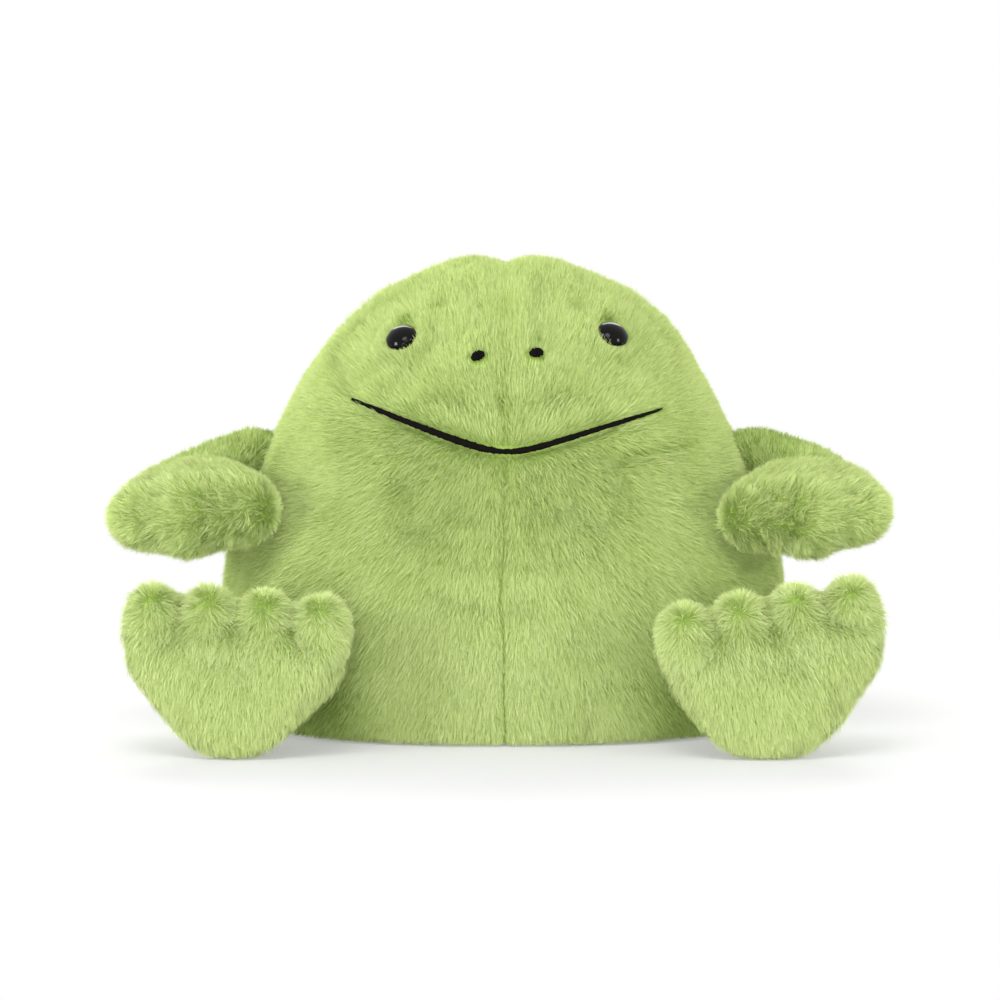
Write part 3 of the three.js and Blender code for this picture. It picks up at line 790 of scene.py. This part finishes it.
def pinch_place(side):
    """Where the cloth is drawn in above an eye, on its inner side."""
    return face_point(FACE_X + side * 19.4 * MM, 119.5 * MM, PILE_DEPTH)


def cheek_place(side):
    return face_point(FACE_X + side * 46 * MM, 88 * MM)


def crease_share(x, z, height, width):
    """1 along the fold beside the mouth's right corner, which rises slightly outward."""
    return hill(z - height - 0.08 * (x - CREASE_X), width) * hill(x - CREASE_X, 13 * MM)


def bump(places, middle, size):
    """A soft round share, 1 at the middle."""
    return hill(np.linalg.norm(places - np.array(middle), axis=1), size)


def over_washers(places):
    """The places of the cloth, moved out where they would lie in or under an eye's washer."""
    for side in ("left", "right"):
        washer = frame["nodes"][f"{side}_eye_washer"]
        turn = np.array(washer.matrix_world)
        disc = corners_of(washer.data) @ turn[:3, :3].T + turn[:3, 3]
        middle = disc.mean(0)
        axis = np.linalg.svd(disc - middle)[2][2]
        axis *= np.sign(axis @ np.array((middle[0], middle[1] - BODY_Y, middle[2] - 70 * MM)))
        top = ((disc - middle) @ axis).max() + 0.7 * MM
        height = (places - middle) @ axis
        spread = np.linalg.norm(places - middle - height[:, None] * axis, axis=1)
        share = np.clip((10 * MM - spread) / (4 * MM), 0, 1) * (np.abs(height) < 7 * MM)
        places = places + axis * (eased(share) * np.clip(top - height, 0, 4 * MM))[:, None]
    return places


def sculpt_body():
    """Draws the body's cloth in or out along its normals, as its seams and stitches do."""
    places, normals = corners_of(body.data), normals_of(body.data)
    x, z = places[:, 0], places[:, 2]
    front = eased(np.clip((BODY_Y - places[:, 1]) / (12 * MM), 0, 1))

    # The middle seam, a groove and up the forehead a slight ridge, and the crown's notch
    plain = np.clip((z - 92 * MM) / (10 * MM), 0, 1) * front
    seam = hill(x - seam_place(z), 1.3 * MM) * (z > SEAT_TOP)
    top = hill(z - CROWN, 6 * MM)
    sunk = (1.1 - 1.5 * plain) * MM * seam * (1 - 0.6 * top)
    sunk += 0.7 * MM * hill(x, 7 * MM) * top

    # The groove that the mouth's stitches pull
    reach = np.clip((44 * MM - np.abs(x - FACE_X)) / (6 * MM), 0, 1)
    sunk += front * reach * 1.0 * MM * hill(z - mouth_height(x - FACE_X), 1.8 * MM)

    # Brows and cheeks stand out, the pinches lie in
    for side in (-1, 1):
        brow = face_point(FACE_X + side * (EYE_X + side * 2 * MM), EYE_HEIGHT + 10 * MM)
        sunk -= (1.7 if side > 0 else 0.9) * MM * bump(places, brow, 7.5 * MM)
        sunk += 1.4 * MM * bump(places, pinch_place(side), 2.4 * MM)
        sunk -= 0.6 * MM * bump(places, cheek_place(side), 12 * MM)

    # Two flat places beside the crown, a narrower left side of the head, and the crease
    high = eased(np.clip((z - CROWN + 26 * MM) / (18 * MM), 0, 1))
    for middle, depth in ((-24 * MM, 0.6 * MM), (24 * MM, 0.9 * MM)):
        sunk += depth * hill(x - middle, 9 * MM) * high
    leftward = np.clip(-normals[:, 0], 0, 1) ** 1.5
    sunk += 2.6 * MM * leftward * hill(z - 117 * MM, 14 * MM)
    sunk += front * 1.5 * MM * crease_share(x, z, 79.5 * MM, 1.8 * MM)
    place_corners(body.data, over_washers(places - normals * sunk[:, None]))


sculpt_body()


def stem_gap(points, start, end):
    """How far each point is from a limb's middle line."""
    start, end = np.array(start), np.array(end)
    line = end - start
    share = np.clip((points - start) @ line / (line @ line), 0, 1)
    return np.linalg.norm(points - start - share[:, None] * line, axis=1)


def eye_gap(places, side):
    """How far out of the eye's middle each place is, where the eye's edge is at 1."""
    height = EYE_HEIGHT + (0.5 + 0.4 * side) * MM
    eye = on_face(FACE_X + side * (EYE_X + 0.3 * MM), height, 0, math.radians(-side * 28))
    here = (places - np.array(eye.translation)) @ np.array(eye.to_3x3())
    return np.linalg.norm(here / (4.5 * MM, 4.1 * MM, 4.1 * MM), axis=1)


def body_pile():
    """The body's pile: none under the seat, in the limbs, the eyes and the stitches, and a
    bare line at the seam below the mouth. It lies away from the mouth, and down the back."""
    bare_limb, bare_nostril = 8 * MM, 2.9 * MM

    def where(roots, normals):
        keep = ~((normals[:, 2] < -0.9) & (roots[:, 2] < SEAT_TOP))
        for side in (-1, 1):
            flip = np.array([side, 1, 1])
            for start, end in (ARM_LINE, LEG_LINE):
                keep &= stem_gap(roots * flip, start, end) > bare_limb
            keep &= eye_gap(roots, side) > 1
            height = NOSTRIL_HEIGHT + (0.4 * side - 0.5) * MM
            gap = roots - np.array(face_point(FACE_X + side * NOSTRIL_X, height))
            keep &= np.linalg.norm(gap * (0.8, 1, 1), axis=1) > bare_nostril
        front = roots[:, 1] < BODY_Y
        x = roots[:, 0] - FACE_X
        band = (1.2 - 0.35 * np.abs(x) / MOUTH_HALF) * MM  # narrower at the corners
        over = roots[:, 2] - mouth_height(x)
        keep &= ~(front & (np.abs(x) < MOUTH_HALF) & (over < band) & (over > -0.5 * band))
        seam = np.abs(roots[:, 0] - seam_place(roots[:, 2]))
        keep &= ~((seam < 0.3 * MM) & (roots[:, 2] < 80 * MM) & (roots[:, 2] > 5 * MM))
        return keep

    def flow(roots, normals, seed):
        x = roots[:, 0] - FACE_X
        rise = roots[:, 2] - mouth_height(x)
        near = np.exp(-((x / (43 * MM)) ** 4))
        away = roots - np.array(MOUTH)
        away[:, 2] += 34 * MM * np.tanh(rise / (3 * MM)) * near
        down = np.array([[0, 0.25, -1.0]])
        back = eased(np.clip((roots[:, 1] - BODY_Y + 10 * MM) / (45 * MM), 0, 1)[:, None])
        return laid(away, normals) * (1 - back) + laid(down, normals) * back

    def sort(roots):
        side = np.where(roots[:, 0] < 0, "left", "right")
        level = np.where(roots[:, 2] > 78 * MM, "head", "belly")
        behind = np.where(roots[:, 2] > 62 * MM, "nape", "back")
        level = np.where(roots[:, 1] > BODY_Y + 5 * MM, behind, level)
        names = np.char.add(np.char.add("body_", side), "_")
        return np.char.add(np.char.add(names, level), "_pile")

    def look(roots, normals):
        x, z = roots[:, 0], roots[:, 2]
        front = roots[:, 1] < BODY_Y

        # Darker at the seam and over the mouth's middle, painted shade in the crease, painted light
        # low down
        seam = hill(x - seam_place(z), 0.9 * MM)
        behind = np.clip((roots[:, 1] - BODY_Y + 10 * MM) / (20 * MM), 0, 1)
        strong = 0.15 + 0.65 * np.maximum(behind, np.clip((88 * MM - z) / (8 * MM), 0, 1))
        snout = hill(x, 2.2 * MM) * hill(z - 91 * MM, 7 * MM) * front
        crease = crease_share(x, z, 80.5 * MM, 1.6 * MM) * front
        shade = -0.32 * seam * strong - 0.2 * snout - 0.25 * crease
        shade += 0.24 * bump(roots, (0, BODY_Y - BELLY, 20 * MM), 30 * MM)

        # Painted shade in the crook beside each leg, and on the cheeks, which face aside
        for side in (-1, 1):
            crook_shade = np.clip(2.4 - stem_gap(roots * (side, 1, 1), *LEG_LINE) / (16 * MM), 0, 1)
            shade -= 0.22 * eased(crook_shade) * np.clip(1.3 - z / (40 * MM), 0, 1)
            shade -= 0.09 * bump(roots, cheek_place(side), 16 * MM)

        # Shorter at the seam, mouth, eyes and pinches; painted shade in the pinches and above the
        # eyes
        gathers = 0.3 + 0.9 * snout
        shorter = 1 - 0.5 * seam * strong
        mouth = hill(z - mouth_height(x - FACE_X), 2.2 * MM)
        shorter -= 0.4 * mouth * (np.abs(x - FACE_X) < MOUTH_HALF) * front
        for side in (-1, 1):
            pinch, over_eye = pinch_place(side), EYE_HEIGHT + 4.2 * MM
            above = face_point(FACE_X + side * (EYE_X - 1 * MM), over_eye, PILE_DEPTH)
            shade -= 0.4 * bump(roots, pinch, 1.9 * MM) + 0.3 * bump(roots, above, 2.8 * MM)
            shorter -= 0.5 * hill(eye_gap(roots, side) - 1, 0.3)
            shorter -= 0.5 * bump(roots, pinch - Vector((0, 0, 1 * MM)), 3 * MM)
        # Painted shadow above the right nostril
        shadow = face_point(FACE_X + NOSTRIL_X + 0.3 * MM, NOSTRIL_HEIGHT + 3 * MM, PILE_DEPTH)
        shade -= 0.3 * bump(roots, shadow, 1.6 * MM)
        return shorter, np.zeros(len(roots)), shade, gathers, 0.23 + 0.3 * snout

    pile = Pile(body, 1, where)
    pile.lay(flow, sort, look)
    for piece in pile.pieces():
        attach(piece, "torso")


# Limbs

ARM_LINE = hand_fan("left")[1]
LEG_LINE = foot_fan("left")[1]
PANELS = {"arm": ("upper", "lower"), "leg": ("sole", "upper")}
BEND = (1, 15)  # millimetres from the root along a limb's line, where points are found but not used


def limb_pile(side, kind, form, fan, base, seed):
    """A limb's pile, a piece for each panel. It lies from the tips toward the wrist or heel, and
    on a hand also outward, on the toes also backward."""
    mirror = np.array([-1 if side == "left" else 1, 1, 1])
    turn = np.array(fan.matrix.to_3x3())
    middle = np.array(fan.matrix.translation)

    def local(roots):
        return (roots * mirror - middle) @ turn

    def flow(roots, normals, seed):
        here = local(roots) + 1.4 * MM * drifts(roots, 2 * MM, seed + 40)
        lower, ahead, pull = (7, 16, (0, 0, -0.95)) if kind == "leg" else (0, 24, (-1.9, 0, 0.15))
        share = np.clip((here[:, 1:2] - lower * MM) / ((ahead - lower) * MM), 0, 1)
        return ((np.array([[0, -1.1, 0]]) + share * np.array([pull])) @ turn.T) * mirror

    def sort(roots):
        return np.where(local(roots)[:, 2] > 0, *(f"{side}_{kind}_{p}_pile" for p in PANELS[kind]))

    def look(roots, normals):
        here = local(roots)
        near, core = np.zeros((2, len(roots)))
        for point in fan.whorls:
            near = np.maximum(near, bump(here, point, 3.6 * MM))
            core = np.maximum(core, bump(here, point, 1.5 * MM))
        if kind == "leg":  # darker and shorter in the clefts between the toes
            # Painted shade in the clefts between the toes
            clefts = np.zeros(len(roots))
            for (x, y, _, _), (other_x, other_y, _, _) in zip(fan.digits, fan.digits[1:]):
                gap = here - np.array(((x + other_x) / 2, (y + other_y) / 2 - 0.5 * MM, 5 * MM))
                gap = gap / (np.array((1.1, 3.8, 8)) * MM)
                clefts = np.maximum(clefts, np.exp(-((gap ** 2).sum(1))))
            # Painted light that lifts the shade in a band just below the toes
            below = hill(here[:, 1] - 8 * MM, 5 * MM)
            return (1.0 + 0.2 * near - 0.5 * clefts, 8 * near,
                    0.2 * near + 0.14 * below - 0.5 * clefts,
                    0.4 + 1.2 * near, 0.25 + 0.3 * near)
        # Painted shade on the arm behind the hand and in the middle of the hand's tuft
        facing = np.clip((normals * mirror) @ turn[:, 1], 0, 1)
        behind = np.clip(1 - here[:, 1] / (20 * MM), 0, 1.3)
        return (1.0 + 0.1 * near, 12 * facing, -0.25 * behind - 0.15 * core, 0.8 + 1.0 * near,
                0.3 + 0.8 * facing * (1 - near))

    pile = Pile(form, seed, lambda roots, normals: in_body(roots, 1.0 * MM) > 1)
    pile.lay(flow, sort, look, base)
    return pile.pieces()


def dress_limb(side, kind, fan, line, seed):
    body_name = f"{side}_{kind}"
    form = smoothed(fan.form(f"{body_name}_cover", line), 1.6 * MM, 5)
    into = fan.matrix.inverted()
    flat, middle = np.array(into.to_3x3()), np.array(into.translation)
    stuff(form, lambda p: np.abs((p @ flat.T + middle)[:, 2]) < 1.0 * MM, 0.9 * MM)
    subdivide(form)
    if side == "left":
        mirror(form)
    form.data.materials.append(BACKING)
    start, end = line
    out = (end - start).normalized()
    bend = [start + out * reach * MM for reach in BEND]
    if side == "left":
        bend = [Vector((-p.x, p.y, p.z)) for p in bend]
    base = 0.6 if kind == "arm" else 0.67
    for piece in [form, *limb_pile(side, kind, form, fan, base, seed)]:
        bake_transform(piece)
    panels = (f"{body_name}_{panel}_panel" for panel in PANELS[kind])
    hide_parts(*panels, f"{body_name}_filling")


for index, side in enumerate(("left", "right")):
    dress_limb(side, "arm", *hand_fan(side), 2000 + 500 * index)
    dress_limb(side, "leg", *foot_fan(side), 4000 + 500 * index)

body_pile()
body.name = "body_cover"
body.data.materials.append(BACKING)
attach(body, "torso")
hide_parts("body_left_panel", "body_right_panel", "base_panel", "body_filling",
            "pellet_pouch")


# Eyes, nostrils and mouth

BUTTON_RADIUS = 4.4 * MM


def finish_node(name, material):
    node = frame["nodes"][name]
    node.data.materials.clear()
    node.data.materials.append(material)


EYE, WASHER, THREAD = eye_material(), washer_material(), thread_material()
for side in ("left", "right"):
    finish_node(f"{side}_eye_washer", WASHER)


def face_piece(name, shape, material, node):
    piece = piece_of(name, shape)
    smooth_faces(piece)
    piece.data.materials.append(material)
    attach(piece, "torso")
    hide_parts(node)


def button_eye(side, sign):
    """A glossy domed button with a rolled rim."""
    shape = bmesh.new()
    place = on_face(FACE_X + sign * EYE_X, EYE_HEIGHT + sign * 0.4 * MM, 0.9 * MM)
    place = place @ Matrix.Rotation(math.radians(-12), 4, "X")
    bmesh.ops.create_uvsphere(shape, u_segments=96, v_segments=64, radius=BUTTON_RADIUS)
    for corner in shape.verts:
        x, y, z = corner.co
        ring = math.hypot(x, y) / BUTTON_RADIUS
        dome = 0.6 if z > 0 else 0.35
        rim = 0.12 * MM * math.exp(-(((ring - 0.93) / 0.05) ** 2)) * (z > 0)
        corner.co = place @ Vector((x, y, z * dome + rim))
    face_piece(f"{side}_button", shape, EYE, f"{side}_eye")


def stitched_nostril(side, sign):
    """A little oval of satin stitches, drawn down into the pile."""
    shape = bmesh.new()
    tilt = math.radians(30 if sign < 0 else 8)
    place = on_face(FACE_X + sign * NOSTRIL_X, NOSTRIL_HEIGHT + sign * 0.4 * MM, 2.0 * MM, tilt)
    bmesh.ops.create_uvsphere(shape, u_segments=112, v_segments=48, radius=1)
    for corner in shape.verts:
        x, y, z = corner.co
        stitch = 0.5 + 0.5 * math.sin(13 * x + 2 * y + 1.3 * math.sin(5 * x))
        size = 0.86 + 0.17 * stitch + 0.05 * math.sin(9 * math.atan2(y, x) + sign)
        corner.co = place @ Vector((2.1 * MM * x * (0.93 + 0.07 * stitch), 1.5 * MM * y * size,
                                    0.85 * MM * z * size))
    face_piece(f"{side}_nostril_knot", shape, THREAD, f"{side}_nostril")


# Half the mouth line's width in millimetres, at places from its left corner, -1, to its right
# one, 1: two runs of stitches that meet
MOUTH_WIDTHS = [
    (-1, .4), (-.97, .56), (-.7, .82), (-.3, 1.16), (-.12, 1.04), (-.03, .74), (.01, .78),
    (.07, .96), (.2, .97), (.5, .82), (.8, .64), (.96, .45), (1, .25),
]


def stitched_mouth():
    """A thick line of slanted satin stitches, thinner towards its corners."""
    steps, sides = 600, 16
    stitch_steps, slant = 5.5, 0.55
    spots, widths = zip(*MOUTH_WIDTHS)
    dice = np.random.default_rng(5)
    uneven = dice.uniform(0.88, 1.12, (2, 200))
    shape = bmesh.new()
    rings = []
    for i in range(steps + 1):
        t = 2 * i / steps - 1
        x, off = FACE_X + MOUTH_HALF * t, MOUTH_HALF * t
        height = float(mouth_height(off))
        radius = float(np.interp(t, spots, widths)) * MM
        normal = face_normal(x, height, PILE_DEPTH)
        point = face_point(x, height, PILE_DEPTH) + normal * (1.5 * MM)
        ahead = face_point(x + 0.2 * MM, float(mouth_height(off + 0.2 * MM)), PILE_DEPTH)
        along = (ahead - face_point(x, height, PILE_DEPTH)).normalized()
        across = normal.cross(along)
        ring = []
        for k in range(sides):
            angle = 2 * math.pi * k / sides
            stitch = i / stitch_steps + slant * math.cos(angle)
            ridge = abs(math.sin(math.pi * stitch)) ** 0.6
            edge = uneven[int(math.cos(angle) > 0)]
            size = radius * (0.8 + 0.2 * ridge) * edge[int(stitch) % len(edge)]
            size *= 0.4 if i in (0, steps) else 1
            ring.append(shape.verts.new(point + across * math.cos(angle) * size
                                        + normal * math.sin(angle) * 0.8 * size))
        rings.append(ring)
    for one, other in zip(rings, rings[1:]):
        for k in range(sides):
            shape.faces.new((one[k], other[k], other[(k + 1) % sides], one[(k + 1) % sides]))
    shape.faces.new(rings[0])
    shape.faces.new(list(reversed(rings[-1])))
    bmesh.ops.recalc_face_normals(shape, faces=shape.faces)
    face_piece("mouth_line", shape, THREAD, "mouth_stitching")


for side, sign in (("left", -1), ("right", 1)):
    button_eye(side, sign)
    stitched_nostril(side, sign)
stitched_mouth()


# Camera, light and floor

def camera():
    """A long lens from a little above, with a picture 280 mm wide at the frog."""
    distance, width, sensor = 1.6, 0.28, 36
    data = bpy.data.cameras.new("camera")
    data.sensor_width, data.lens = sensor, sensor * distance / width
    data.clip_start, data.clip_end = 0.1, 20
    data.shift_x, data.shift_y = -0.0035, -0.003
    eye = bpy.data.objects.new("camera", data)
    bpy.context.scene.collection.objects.link(eye)
    rise = math.radians(5)
    back = Vector((0, -math.cos(rise), math.sin(rise)))
    eye.location = Vector((0, 0, 65 * MM)) + back * distance
    eye.rotation_euler = (-back).to_track_quat("-Z", "Y").to_euler()
    bpy.context.scene.camera = eye


def lamp(name, place, size, power, aim=(0, 0, 0.05)):
    data = bpy.data.lights.new(name, "AREA")
    data.shape, data.size, data.energy = "DISK", size, power
    light = bpy.data.objects.new(name, data)
    bpy.context.scene.collection.objects.link(light)
    light.location = place
    light.rotation_euler = (Vector(aim) - Vector(place)).to_track_quat("-Z", "Y").to_euler()


def studio():
    """A white room: bright where it is seen, dimmer as a light, with five lamps and a floor."""
    world = bpy.data.worlds.new("studio")
    bpy.context.scene.world = world
    world.use_nodes = True
    tree, add = world.node_tree, Recipe.add
    tree.nodes.clear()
    seen = background_seen(tree)
    bright = add(tree, "ShaderNodeMix", {"data_type": "FLOAT"}, {0: seen, 2: 0.5, 3: 1.0})
    sky = add(tree, "ShaderNodeBackground", (), {"Color": (1, 1, 1, 1), "Strength": bright})
    out = tree.nodes.new("ShaderNodeOutputWorld")
    tree.links.new(sky.socket, out.inputs[0])
    lamp("left_light", (-1.15, -0.85, 0.4), 0.4, 8)
    lamp("right_light", (1.2, -0.85, 0.4), 0.4, 5.5)
    lamp("front_light", (-0.15, -1.6, 0.2), 0.6, 9)
    lamp("key_light", (-0.1, -0.8, 0.9), 0.5, 4, (0, 0, 0.06))
    lamp("back_light", (0, 1.3, 0.9), 1.2, 18)
    shape = bmesh.new()
    bmesh.ops.create_grid(shape, x_segments=2, y_segments=2, size=6)
    floor = piece_of("floor", shape)
    floor.data.materials.append(floor_material())


camera()
studio()
bpy.context.scene.view_settings.view_transform = "Standard"
